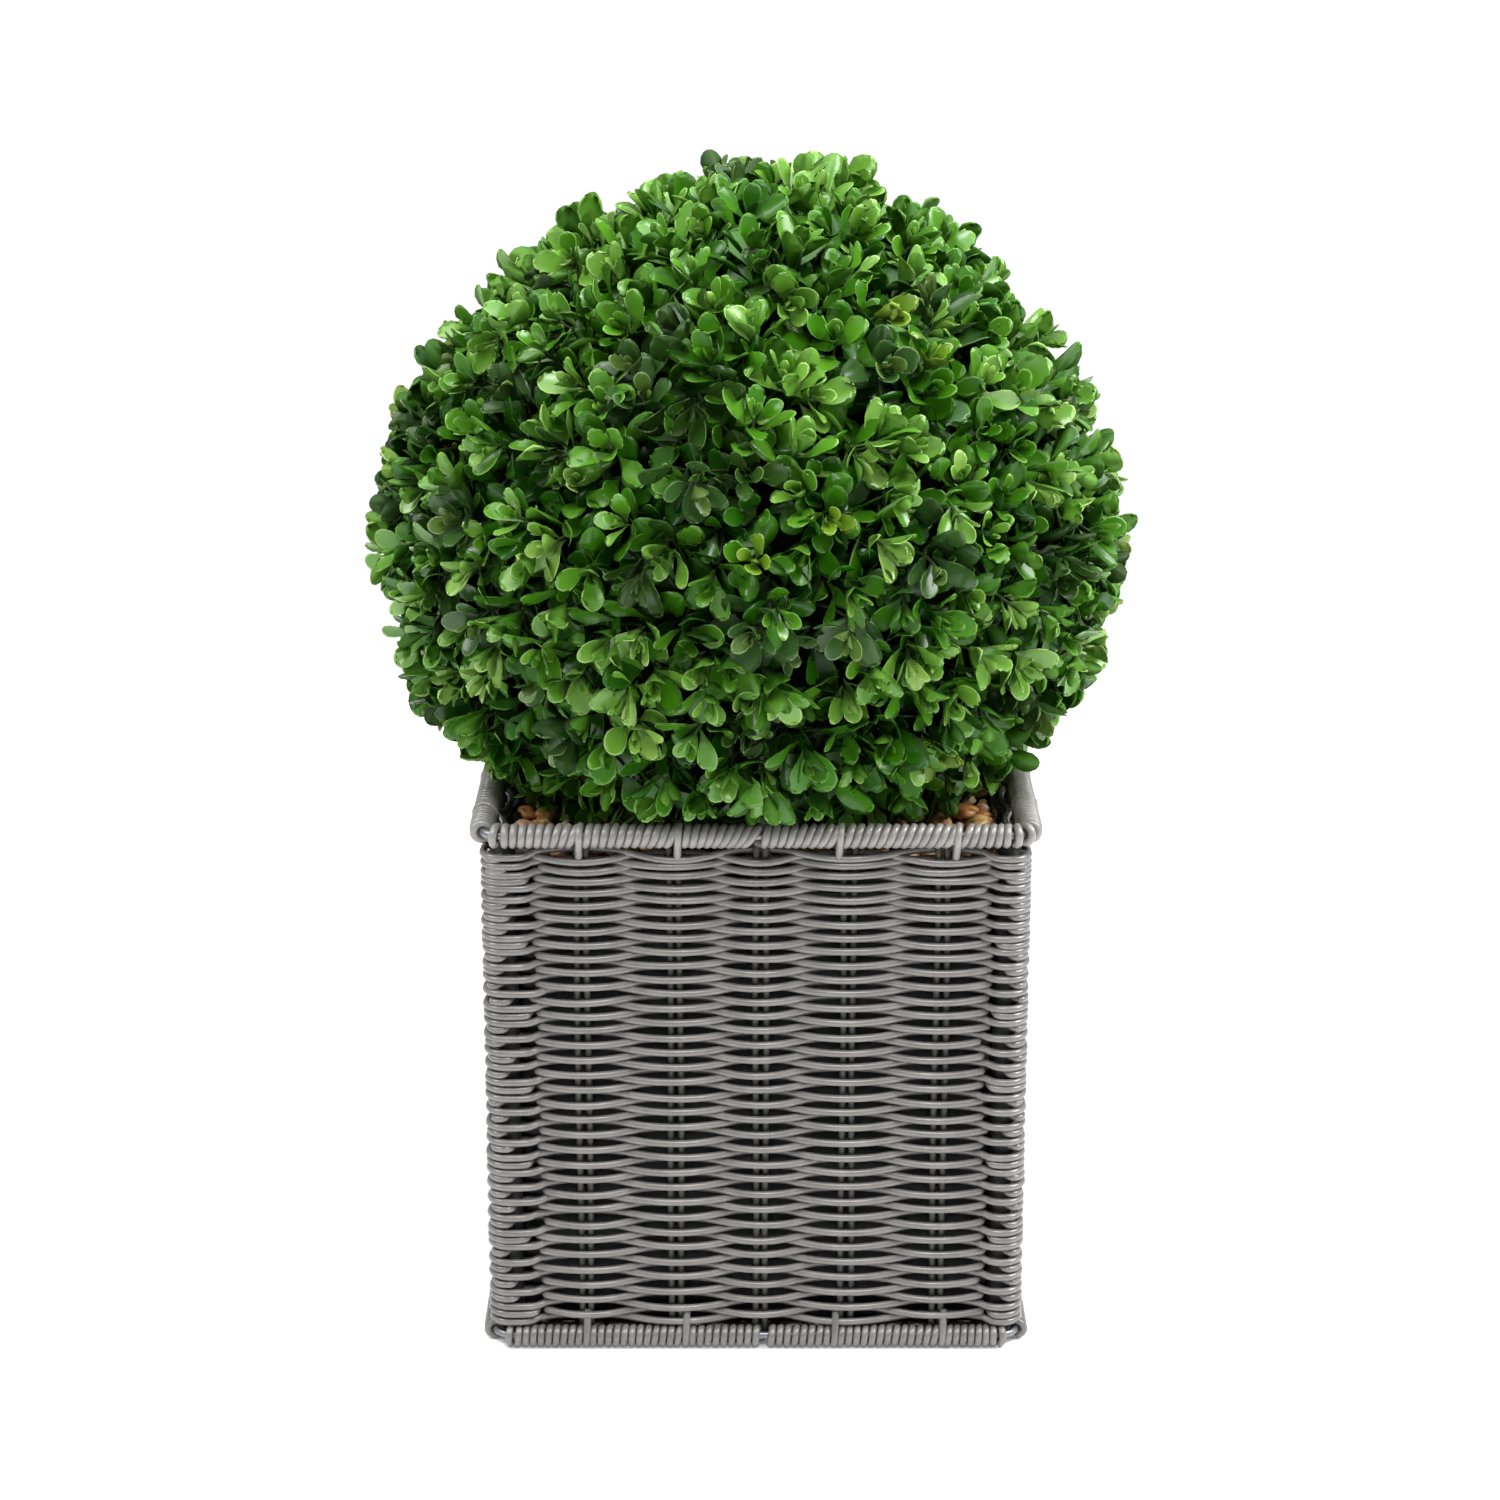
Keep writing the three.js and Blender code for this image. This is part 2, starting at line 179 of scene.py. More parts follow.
# ---- meshes
class Shape:
    """Collects vertices and faces, and makes one object of them."""

    def __init__(self):
        self.points, self.faces, self.slots, self.count = [], [], [], 0

    def add(self, points, faces, slot=0):
        """Adds points, and faces as a table of their numbers, all in one material slot."""
        self.points.append(np.asarray(points, dtype=float).reshape(-1, 3))
        faces = np.asarray(faces)
        self.faces.append(faces + self.count)
        self.slots.append(np.broadcast_to(slot, len(faces)))
        self.count += len(self.points[-1])

    def tube(self, path, radius, sides, across, closed=False, slot=0):
        """A round tube along path. across is a direction that no stretch of it follows."""
        path = np.asarray(path, dtype=float)
        if closed:
            along = np.roll(path, -1, axis=0) - np.roll(path, 1, axis=0)
        else:
            along = np.gradient(path, axis=0)
        along = unit(along)
        first = unit(np.cross(along, np.broadcast_to(across, path.shape)))
        second = np.cross(along, first)
        turn = np.arange(sides) * 2 * np.pi / sides
        radius = np.broadcast_to(radius, len(path))[:, None, None]
        ring = first[:, None] * np.cos(turn)[None, :, None] + second[:, None] * np.sin(turn)[None, :, None]
        points = path[:, None] + ring * radius
        count = len(path)
        rows = np.arange(count if closed else count - 1)
        i, j = np.meshgrid(rows, np.arange(sides), indexing="ij")
        after, beside = (i + 1) % count, (j + 1) % sides
        this, following = i * sides, after * sides
        quads = np.stack([this + j, following + j, following + beside, this + beside], axis=-1)
        self.add(points, quads.reshape(-1, 4), slot)
        if not closed:
            ends = np.array([np.arange(sides), (count - 1) * sides + np.arange(sides)[::-1]])
            self.faces.append(ends + self.count - count * sides)
            self.slots.append(np.broadcast_to(slot, 2))

    def stack(self, rings):
        """A closed body through rings of equally many points, from the lowest up."""
        count, start = len(rings[0]), self.count
        i, j = np.meshgrid(np.arange(len(rings) - 1), np.arange(count), indexing="ij")
        beside = (j + 1) % count
        low, high = i * count, (i + 1) * count
        quads = np.stack([low + j, low + beside, high + beside, high + j], axis=-1)
        self.add(np.concatenate(rings), quads.reshape(-1, 4))
        last = (len(rings) - 1) * count
        self.faces.append(np.array([np.arange(count)[::-1], np.arange(count) + last]) + start)
        self.slots.append(np.zeros(2, dtype=int))

    def piece(self, name, materials):
        """Makes the object, rides it on the plant's one body and returns it."""
        mesh = bpy.data.meshes.new(name)
        points = np.concatenate(self.points)
        sizes = np.concatenate([np.full(len(f), f.shape[1]) for f in self.faces])
        mesh.vertices.add(len(points))
        mesh.vertices.foreach_set("co", points.ravel())
        mesh.loops.add(int(sizes.sum()))
        mesh.loops.foreach_set("vertex_index", np.concatenate([f.ravel() for f in self.faces]))
        mesh.polygons.add(len(sizes))
        mesh.polygons.foreach_set("loop_start", np.concatenate([[0], np.cumsum(sizes)[:-1]]))
        mesh.polygons.foreach_set("material_index", np.concatenate(self.slots))
        mesh.polygons.foreach_set("use_smooth", np.full(len(sizes), True))
        for material in materials:
            mesh.materials.append(material)
        mesh.update(calc_edges=True)
        mesh.validate()
        made = bpy.data.objects.new(name, mesh)
        bpy.context.scene.collection.objects.link(made)
        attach(made, "root")
        return made


# ---- materials
def material(name, colour, roughness, **sockets):
    """A material of an sRGB colour. sockets are further inputs of the shader by name."""
    made = bpy.data.materials.new(name)
    made.use_nodes = True
    shader = made.node_tree.nodes["Principled BSDF"]
    shader.inputs["Base Color"].default_value = from_srgb(colour)
    shader.inputs["Roughness"].default_value = roughness
    for socket, value in sockets.items():
        shader.inputs[socket.replace("_", " ")].default_value = value
    return made


def noise_in(tree, scale, detail):
    """A noise over the object's own coordinates."""
    place = tree.nodes.new("ShaderNodeTexCoord")
    noise = tree.nodes.new("ShaderNodeTexNoise")
    noise.inputs["Scale"].default_value = scale
    noise.inputs["Detail"].default_value = detail
    tree.links.new(place.outputs["Object"], noise.inputs["Vector"])
    return noise.outputs["Fac"]


def ramp_in(tree, source, *stops):
    """A colour ramp over source, between two stops of a position and a linear colour."""
    ramp = tree.nodes.new("ShaderNodeValToRGB")
    for element, (position, colour) in zip(ramp.color_ramp.elements, stops):
        element.position, element.color = position, colour
    tree.links.new(source, ramp.inputs["Fac"])
    return ramp.outputs["Color"]


def mottle(made, dark, light, scale, detail=4.0, low=0.35, high=0.65):
    """Varies a material's colour from dark to light by a noise of the given scale."""
    tree = made.node_tree
    noise = noise_in(tree, scale, detail)
    colours = ramp_in(tree, noise, (low, from_srgb(dark)), (high, from_srgb(light)))
    tree.links.new(colours, tree.nodes["Principled BSDF"].inputs["Base Color"])


def bump(made, scale, strength, distance, detail=3.0):
    """Roughens a material by a noise of the given scale."""
    tree = made.node_tree
    lift = tree.nodes.new("ShaderNodeBump")
    lift.inputs["Strength"].default_value = strength
    lift.inputs["Distance"].default_value = distance
    tree.links.new(noise_in(tree, scale, detail), lift.inputs["Height"])
    tree.links.new(lift.outputs["Normal"], tree.nodes["Principled BSDF"].inputs["Normal"])


def cane_material():
    made = material("cane", (105, 102, 99), 0.26, Specular_IOR_Level=0.85)
    mottle(made, (98, 95, 92), (112, 109, 106), 90)
    bump(made, 1400, 0.16, 0.0002)
    return made


def lit_rim_material():
    """The cane of the rim, a shade lighter than the wall's: painted light, for the rim catches more of the
    light from above than the wall.
    """
    made = material("lit_rim_cane", (128, 125, 121), 0.3, Specular_IOR_Level=0.9)
    mottle(made, (121, 118, 114), (135, 132, 128), 90)
    bump(made, 1400, 0.16, 0.0002)
    return made


def shaded_stake_material():
    # Much darker than the rows' cane: painted shade, for the uprights stand back in the dark gaps between
    # the rows.
    made = material("cane_uprights_shaded", (64, 64, 58), 0.5)
    mottle(made, (56, 56, 50), (72, 72, 66), 90)
    bump(made, 1400, 0.12, 0.0002)
    return made


def post_material():
    made = material("corner_post", (34, 33, 31), 0.6)
    mottle(made, (26, 25, 24), (42, 41, 38), 90)
    return made


def wire_material():
    made = material("wire", (128, 130, 134), 0.36, Metallic=0.9)
    bump(made, 500, 0.15, 0.0002)
    return made


def liner_material():
    made = material("liner_film", (16, 16, 15), 0.5)
    mottle(made, (12, 12, 11), (24, 24, 22), 30)
    bump(made, 70, 0.5, 0.002)
    return made


def bark_material():
    made = material("bark", (84, 66, 46), 0.8)
    mottle(made, (58, 44, 30), (112, 90, 64), 160)
    bump(made, 300, 0.6, 0.001)
    return made


# ---- the woven wall
def around_square(half, corner, spacing):
    """Points round a square with round corners: place, way out and share along the side.

    The share runs from -1 to 1 over each side, corner to corner.
    """
    flat = half - corner
    straight = np.linspace(-flat, flat, round(2 * flat / spacing) + 1)
    places, outs, shares, sides = [], [], [], []
    rest = corner / half
    for side in range(4):
        x_way, y_way = (way[:2] for way in side_ways(side))
        for x in straight:
            places.append(x * x_way - half * y_way)
            outs.append(-y_way)
            shares.append(x / half)
            sides.append(side)
        steps = max(6, round(corner * np.pi / 2 / spacing))
        for step in range(1, steps):
            angle = step / steps * np.pi / 2
            way = np.sin(angle) * x_way - np.cos(angle) * y_way
            places.append(flat * (x_way - y_way) + corner * way)
            outs.append(way)
            past = step / steps * 2
            shares.append(1 - rest * (1 - past) if past < 1 else -1 + rest * (past - 1))
            sides.append(side if past < 1 else (side + 1) % 4)
    return np.array(places), np.array(outs), np.array(shares), np.array(sides)


def thinned(path):
    """Fewer points along a closed path, close together only where it bends."""
    closed = np.vstack([path, path[:1]])
    ahead = np.diff(closed, axis=0)
    lengths = np.linalg.norm(ahead, axis=1)
    ways = ahead / lengths[:, None]
    turns = np.arccos(np.clip((ways * np.roll(ways, 1, axis=0)).sum(axis=1), -1, 1))
    needed = lengths / ROW_STEP + (turns + np.roll(turns, -1)) / 2 / ROW_TURN
    passed = np.concatenate([[0], np.cumsum(needed)])
    wanted = np.linspace(0, passed[-1], math.ceil(passed[-1]) + 1)[:-1]
    return np.column_stack([np.interp(wanted, passed, column) for column in closed.T])


def swing_at(shares, changes):
    """How far a row stands out along a side, from -1 to 1, and how far it hangs down."""
    swing, hang = np.zeros(len(shares)), np.zeros(len(shares))
    for number, (start, end) in enumerate(zip(changes[:-1], changes[1:])):
        within = (shares >= start) & (shares <= end)
        wave = np.sin(np.pi * (shares[within] - start) / (end - start))
        way, steep = (1 if number % 2 else -INSIDE), 0.9
        if end - start < NARROW:
            way, steep = 1.5 * way, 8.0
        swing[within] = way * np.tanh(steep * wave) / np.tanh(steep)
        hang[within] = wave if number % 2 else -0.25 * wave
    return swing, hang


def row_heights():
    """The heights of the long rows, from the top down, closer together near the rim."""
    gap = 1 - TIGHTEST * np.exp(-np.arange(LONG_ROWS - 1) / TIGHT_ROWS)
    down = np.concatenate([[0], np.cumsum(gap)])
    top = RIM_LOW[2] - ROW_TOP_GAP
    return top - down / down[-1] * (top - ROW_LOW)


def smooth_noise(draw, shares, sides, waves, size):
    """A smooth random curve round the planter."""
    place = (sides + (shares + 1) / 2) * np.pi / 2
    total = np.zeros(len(place))
    for wave in range(1, waves + 1):
        total += draw.normal() * np.sin(wave * place + draw.uniform(0, 2 * np.pi)) / np.sqrt(waves)
    return total * size


def woven_rows(name, heights, changes, skips):
    """One set of rows as one object. In some rows of a set that skips, the last dives are narrow."""
    draw = np.random.RandomState(SEED + len(heights))
    places, outs, shares, sides = around_square(STAKE_HALF, WALL_CORNER, ROW_SPACING)
    shape = Shape()
    for number, height in enumerate(heights):
        moved = np.array(changes) + draw.normal(size=len(changes)) * 0.011
        if skips and number % NARROW_EVERY == 2:
            moved[0], moved[-1] = moved[1] - NARROW_DIVE, moved[-2] + NARROW_DIVE
        swing, hang = swing_at(shares, moved)
        # round the corners a row stands out a little farther than it does at a stake
        at_corner = (shares < moved[0]) | (shares > moved[-1])
        past = np.where(shares < 0, moved[0] - shares, shares - moved[-1]) * STAKE_HALF / MM
        stands_out = 1.15 * np.tanh(np.clip(past, 0, None) / (1.0 if skips else 3.5))
        swing = np.where(at_corner, stands_out, swing)
        hang = np.where(at_corner, 0.8 * np.tanh(np.clip(past, 0, None) / 4.0), hang)
        out = swing * SWING + smooth_noise(draw, shares, sides, 9, 0.14 * MM)
        loose = 1 + 1.3 * math.exp(-number / 0.9)
        drop = hang * SAG * loose * (1 + 0.2 * smooth_noise(draw, shares, sides, 12, 1.0))
        level = height - drop + smooth_noise(draw, shares, sides, 7, 0.2 * MM) + 0.18 * MM * draw.normal()
        plan = places + outs * out[:, None]
        shape.tube(thinned(np.column_stack([plan, level])), CANE, 8, (0, 0, 1), closed=True)
    return shape.piece(name, [CANE_FINISH])


def woven_wall():
    """The two sets of rows, each one object, and the pairs of upright canes."""
    draw = np.random.RandomState(SEED)
    heights = row_heights()
    between = (heights[:-1] + heights[1:]) / 2
    short = (CORNER_CHANGES[0],) + CHANGES + (CORNER_CHANGES[1],)
    pieces = [
        woven_rows("long_rows", heights, CHANGES, False),
        woven_rows("short_rows", between, short, True),
    ]
    shape = Shape()
    low, high = BASE_HIGH[2] - STAKE_PAST[0], RIM_LOW[2] + STAKE_PAST[1]
    middles = [(a + b) / 2 for a, b in zip(CHANGES[:-1], CHANGES[1:])]
    for side in range(4):
        x_way, y_way = side_ways(side)
        for middle in middles:
            for shift in (-STAKE_APART, STAKE_APART):
                x = middle * STAKE_HALF + shift
                z = np.linspace(low, high, 28)
                sway = np.sin(z / (31 * MM) + draw.uniform(0, 6)) * 0.3 * MM
                path = (x + sway)[:, None] * x_way - STAKE_HALF * y_way + z[:, None] * UP
                shape.tube(path, STAKE, 8, y_way)
        post = (STAKE_HALF - POST) * (x_way - y_way)
        z = np.linspace(low, high, 12)
        shape.tube(post + z[:, None] * UP, POST, 12, x_way, slot=1)
    pieces.append(shape.piece("upright_canes", [SHADED_STAKE_FINISH, POST_FINISH]))
    return pieces


# ---- the wrapped borders
def border_line(half, corner):
    """The middle line of a border: functions of the way round it for place, way along and way out."""
    flat = half - corner
    straight, bend = 2 * flat, corner * np.pi / 2
    side_length = straight + bend

    def at(distance):
        distance = np.asarray(distance, dtype=float) % (4 * side_length)
        side = np.floor(distance / side_length)
        within = distance - side * side_length
        angle = np.clip((within - straight) / corner, 0, np.pi / 2)
        turn = side * np.pi / 2
        x = np.where(within < straight, within - flat, flat + corner * np.sin(angle))
        y = np.where(within < straight, -half, -flat - corner * np.cos(angle))
        place = np.stack([x * np.cos(turn) - y * np.sin(turn), x * np.sin(turn) + y * np.cos(turn)], axis=-1)
        along = np.stack([np.cos(turn + angle), np.sin(turn + angle)], axis=-1)
        out = np.stack([np.sin(turn + angle), -np.cos(turn + angle)], axis=-1)
        return place, along, out

    return at, side_length, straight


def wrapped_border(name, finish, cane, outer_half, middle_height, section, stops_at, leans, bare):
    """A core wire with cane wound round it turn by turn.

    stops_at are the shares along a side where an upright's end passes over the border and takes
    one turn's place, or where a new cane starts. leans has, for each stretch between two stops
    and for the corner, how far its first and its last turn lean on the outer side.
    bare lists the stretches of the first side where the wire shows, each as a share of its
    straight length and where it starts and ends from there, in mm.
    """
    draw = np.random.RandomState(SEED + int(middle_height / MM))
    half = outer_half - section / 2
    at, side_length, straight = border_line(half, BORDER_CORNER - section / 2)
    winding = section / 2 - cane
    core = section / 2 - 2 * cane
    starts, turns_lean = [], []
    for side in range(4):
        stops = [side * side_length + (share + 1) / 2 * straight for share in stops_at]
        first, last = side * side_length, side * side_length + straight
        stops = [first] + stops + [last, (side + 1) * side_length]
        for (start, end), (lean, last_lean) in zip(zip(stops[:-1], stops[1:]), leans):
            start += 0.4 * WRAP_PITCH if first < start < last else 0
            end -= 0.4 * WRAP_PITCH if end < last else 0
            pitch = WRAP_PITCH if start < last else WRAP_PITCH * 1.12
            count = max(1, round((end - start) / pitch))
            for number in range(count):
                starts.append(start + (number + 0.5) * (end - start) / count)
                share = number / max(1, count - 1)
                turns_lean.append((lean + (last_lean - lean) * share + draw.normal() * 0.25) * MM)
    starts, turns_lean = np.array(starts), np.array(turns_lean)
    shape = Shape()
    steps = 14
    path, along_ways = [], []
    freed = False
    for number, start in enumerate(starts):
        following = starts[(number + 1) % len(starts)]
        if number == len(starts) - 1:
            following += 4 * side_length
        past = [(start - share * straight + 2 * side_length) % (4 * side_length) for share, _, _ in bare]
        if any(low * MM < p - 2 * side_length < high * MM for p, (_, low, high) in zip(past, bare)):
            if len(path) > steps // 2:
                shape.tube(np.concatenate(path), cane, 8, np.concatenate(along_ways))
            path, along_ways = [], []
            freed = True
            continue
        part = np.arange(steps) / steps
        angle = part * 2 * np.pi  # from the lowest point, out and up the outer side
        lean = turns_lean[number]
        shift = np.where(
            part < 0.5,
            lean * (part * 2 - 0.5),
            lean * 0.5 + (following - start - lean) * (part * 2 - 1),
        )
        place, along, out = at(start + shift)
        reach = winding * (1 - 0.02 * abs(draw.normal()))
        outward = np.sin(angle) * reach * (1.1 if freed else 1)  # a cane's first turn stands out
        upward = -np.cos(angle) * reach
        freed = False
        plan = place + out * outward[:, None]
        path.append(np.column_stack([plan, middle_height + upward]))
        along_ways.append(np.column_stack([along, np.zeros(steps)]))
    if path:
        shape.tube(np.concatenate(path), cane, 8, np.concatenate(along_ways))
    place = at(np.arange(0, 4 * side_length, 4 * MM))[0]
    wire = np.column_stack([place, np.full(len(place), middle_height)])
    shape.tube(wire, core, 10, (0, 0, 1), closed=True, slot=1)
    return shape.piece(name, [finish, WIRE_FINISH])


def upright_ends(name, finish, outer_half, shares, section, middle_height, way):
    """The ends of uprights that pass over a border's outer side and tuck in behind a row.

    way is 1 over the rim, whose ends come down its outer side, and -1 under the foot.
    """
    shape = Shape()
    half = outer_half - section / 2
    winding = section / 2 - CANE * (0.8 if way > 0 else 1.0)
    flat = outer_half - BORDER_CORNER
    for side in range(4):
        x_way, y_way = side_ways(side)
        out = -y_way
        for share in shares:
            x = share * flat
            angle = np.linspace(-1.15 * np.pi / 2, np.pi / 2, 16)
            bow = np.sin(angle)[:, None] * out + way * np.cos(angle)[:, None] * UP
            over = half * out + winding * bow
            down = np.linspace(0, 1, 7)[1:]
            drop = over[-1] - way * down[:, None] * np.array([0, 0, 11.5 * MM])
            drop -= (down[:, None] ** 1.5) * out * (half + winding - STAKE_HALF - 1.1 * MM)
            path = np.concatenate([over, drop]) + x * x_way + np.array([0, 0, middle_height])
            lean = np.linspace(0.8, -0.8, len(path))[:, None] * MM * way
            shape.tube(path + lean * x_way, CANE, 8, x_way)
    return shape.piece(name, [finish])


# ---- inside the planter
def level_all_round(places, height):
    """Nothing is added to a ring's height anywhere."""
    return np.zeros(len(places))


def higher_behind(places, height):
    """The film's edge stands up to the rim at the sides and the back, and lower at the front. Raised there,
    the black film is painted shade over the inside of the weave, which lies in shade.
    """
    share = (height - POT_LOW[2]) / (POT_HIGH[2] - POT_LOW[2])
    back = np.clip((places[:, 1] + POT_HIGH[0] - 1 * MM) / (6 * MM), 0, 1)
    return share * back * (RIM_LOW[2] - 0.5 * MM - POT_HIGH[2])


def rounded_box(shape, rings, draw, wrinkle, raised=level_all_round):
    """A closed body with round corners through rings of (half width, height), in order.

    raised gives what is added to a ring's height at each place.
    """
    corner = 4 * MM
    points = []
    for half, height in rings:
        places, outs, shares, sides = around_square(half, corner, 5 * MM)
        fold = smooth_noise(draw, shares, sides, 24, wrinkle) - abs(wrinkle)
        level = height + raised(places, height)
        points.append(np.column_stack([places + outs * fold[:, None], level]))
    count = min(len(ring) for ring in points)
    shape.stack([ring[:count] for ring in points])


def liner():
    """The pot's film, with the pot's filling as a flat face a little below its edge."""
    shape = Shape()
    draw = np.random.RandomState(SEED + 2)
    outer, film = POT_HIGH[0], 0.7 * MM
    top = POT_HIGH[2]
    rings = [(outer, height) for height in np.linspace(POT_LOW[2], top, 36)]
    rings += [(outer - film, height) for height in np.linspace(top, top - 6 * MM, 3)]
    # the pot's own black film, raised at the sides and the back as painted shade
    rounded_box(shape, rings, draw, 0.3 * MM, higher_behind)
    return shape.piece("pot_liner", [liner_material()])


def woven_bottom():
    """Canes laid side by side under the planter, over and under cross canes."""
    shape = Shape()
    half = HALF - BASE_SECTION
    level = 4.2 * MM
    cross = np.linspace(-0.8, 0.8, 9) * half
    for x in cross:
        y = np.linspace(-half, half, 12)
        path = np.column_stack([np.full(12, x), y, np.full(12, level)])
        shape.tube(path, STAKE, 8, (1, 0, 0))
    rows = int(2 * half / (2.15 * CANE))
    for number in range(rows):
        y = -half + (number + 0.5) * 2 * half / rows
        x = np.linspace(-half, half, 49)
        way = 1 if number % 2 else -1
        wave = np.cos(np.pi * (x - cross[0]) / (cross[1] - cross[0]))
        path = np.column_stack([x, np.full(len(x), y), level + way * wave * 1.3 * MM])
        shape.tube(path, CANE * 0.8, 5, (0, 1, 0))
    return shape.piece("woven_bottom", [SHADED_STAKE_FINISH])


def ball_of_faces(detail):
    """A unit icosphere's points and triangles."""
    sphere = bmesh.new()
    bmesh.ops.create_icosphere(sphere, subdivisions=detail, radius=1)
    sphere.verts.index_update()
    points = np.array([vertex.co[:] for vertex in sphere.verts])
    faces = np.array([[vertex.index for vertex in face.verts] for face in sphere.faces])
    sphere.free()
    return points, faces


def random_turn(draw):
    """A random rotation as a matrix."""
    spin = draw.normal(size=4)
    w, x, y, z = spin / np.linalg.norm(spin, axis=0)
    return np.array([
        [1 - 2 * (y * y + z * z), 2 * (x * y - z * w), 2 * (x * z + y * w)],
        [2 * (x * y + z * w), 1 - 2 * (x * x + z * z), 2 * (y * z - x * w)],
        [2 * (x * z - y * w), 2 * (y * z + x * w), 1 - 2 * (x * x + y * y)],
    ])


def pebbles():
    """Loose pebbles in two layers on a bed, in five kinds of stone."""
    draw = np.random.RandomState(SEED + 3)
    forms = (ball_of_faces(2), ball_of_faces(3))  # coarse for the lower layer
    half = POT_HIGH[0] + 0.5 * MM
    across = int(2 * half / PEBBLE_PITCH) + 1
    kinds = (
        ("pebble_tan", (170, 122, 58), (226, 188, 122)),
        ("pebble_rust", (150, 84, 36), (214, 154, 94)),
        ("pebble_rose", (156, 106, 72), (216, 174, 140)),
        ("pebble_dark", (84, 58, 28), (148, 112, 68)),
        ("pebble_cream", (194, 160, 108), (240, 216, 176)),
    )
    stones = []
    for name, dark, light in kinds:
        stone = material(name, light, 0.34)
        mottle(stone, dark, light, 210, detail=6.0, low=0.4, high=0.6)
        bump(stone, 900, 0.35, 0.0005)
        stones.append(stone)
    shape = Shape()
    for layer, (points, faces) in enumerate(forms):
        for i in range(across):
            for j in range(across):
                x, y = (np.array([i, j]) - (across - 1) / 2) * PEBBLE_PITCH + draw.uniform(-1, 1, 2) * 3 * MM
                size = draw.uniform(3.9, 7.0) * MM
                x, y = np.clip((x, y), -half + size, half - size)
                height = GRAVEL_HIGH[2] + (PEBBLE_LAYERS[layer] + draw.uniform(-1.4, 1.8)) * MM
                kind = draw.choice(5, p=(0.34, 0.24, 0.12, 0.2, 0.1))
                stretch = size * np.array([1, draw.uniform(0.68, 0.95), draw.uniform(0.5, 0.75)])
                bumps = draw.normal(size=(6, 3)) * 2.2
                phase = draw.uniform(0, 6, 6)
                turn = random_turn(draw)
                if math.hypot(x, y) < PEBBLES_FROM:
                    continue
                worn = 1 + 0.06 * np.sin(points @ bumps.T + phase).sum(axis=1)
                spin = draw.uniform(0, 2 * np.pi)
                c, s = np.cos(spin), np.sin(spin)
                flat = np.array([[c, -s, 0], [s, c, 0], [0, 0, 1]])
                stone = (points * worn[:, None]) @ (turn * 0.25 + np.eye(3) * 0.75).T * stretch
                shape.add(stone @ flat.T + np.array([x, y, height]), faces, kind)
    return shape.piece("pebbles", stones)


def gravel_bed():
    """The dark bed that the pebbles lie in."""
    shape = Shape()
    draw = np.random.RandomState(SEED + 4)
    low, high = GRAVEL_LOW[2], GRAVEL_HIGH[2] - 6.5 * MM
    rings = [(POT_HIGH[0] - 1.2 * MM, height) for height in np.linspace(low, high, 4)]
    rounded_box(shape, rings, draw, 0.2 * MM)
    soil = material("grit", (52, 38, 24), 0.9)
    mottle(soil, (30, 22, 14), (78, 58, 36), 400)
    bump(soil, 700, 0.8, 0.001)
    return shape.piece("gravel_bed", [soil])


def stem():
    """The short stem with its bark's relief, from the fill up into the ball."""
    shape = Shape()
    draw = np.random.RandomState(SEED + 5)
    foot = (STEM_HIGH[0] - STEM_LOW[0]) / 2
    heights = np.linspace(STEM_LOW[2], STEM_HIGH[2], 26)
    sides = 40
    around = np.arange(sides) * 2 * np.pi / sides
    centre = BALL_CENTRE[0]
    rings = []
    for number, height in enumerate(heights):
        share = number / (len(heights) - 1)
        ridge = 0.35 * MM * np.sin(11 * around + 2.5 * share + 1.3 * np.sin(7 * share * 3))
        radius = foot * (1 - 0.2 * share) - 0.5 * MM + ridge + 0.15 * MM * draw.normal(size=sides)
        ring = [centre + radius * np.cos(around), radius * np.sin(around), np.full(sides, height)]
        rings.append(np.column_stack(ring))
    shape.stack(rings)
    return shape.piece("stem_bark", [bark_material()])


# ---- the foliage
def mulberry32(seed):
    """The source's seeded random numbers, from 0 to 1."""
    whole = 0xFFFFFFFF
    state = seed & whole
    while True:
        state = (state + 0x6D2B79F5) & whole
        t = state
        t = ((t ^ (t >> 15)) * (t | 1)) & whole
        t ^= (t + (((t ^ (t >> 7)) * (t | 61)) & whole)) & whole
        yield ((t ^ (t >> 14)) & whole) / 4294967296


def sprig_directions():
    """The source's rule: sprigs spread by the golden angle, each shifted a little."""
    draw = mulberry32(SEED)
    shift = 0.5 * math.sqrt(4 * math.pi / SPRIGS) * 0.35
    ways = []
    for number in range(SPRIGS):
        z = 1 - 2 * (number + 0.5) / SPRIGS
        r = math.sqrt(1 - z * z)
        way = [r * math.cos(number * GOLDEN), r * math.sin(number * GOLDEN), z]
        ways.append([value + (next(draw) - 0.5) * 2 * shift for value in way])
        next(draw)
        next(draw)
    return unit(np.array(ways))


def clear_of_planter(points):
    """True where a point keeps clear of the rim, the wall and the gravel.

    The ball narrows to the mouth, so that the gravel shows in the mouth's corners.
    """
    over = points[..., 2] - RIM_TOP
    from_axis = np.hypot(points[..., 0] - BALL_CENTRE[0], points[..., 1])
    narrow = from_axis < MOUTH_REACH + 3 * np.clip(over, 0, None)
    reach = np.abs(points[..., :2]).max(axis=-1)
    mouth = HALF - RIM_SECTION - 0.8 * MM
    clear = (over > 0.6 * MM) | ((reach < mouth) & (points[..., 2] > GRAVEL_HIGH[2] + 1.0 * MM))
    return narrow & clear


def strips(left, right, spine, foot, tip):
    """The triangles of one side of a leaf, from its foot to its tip, between edges and spine."""
    made = [(foot, right[0], spine[0]), (foot, spine[0], left[0])]
    for i in range(len(spine) - 1):
        made.append((right[i], right[i + 1], spine[i + 1]))
        made.append((right[i], spine[i + 1], spine[i]))
        made.append((spine[i], spine[i + 1], left[i + 1]))
        made.append((spine[i], left[i + 1], left[i]))
    return made + [(right[-1], tip, spine[-1]), (spine[-1], tip, left[-1])]


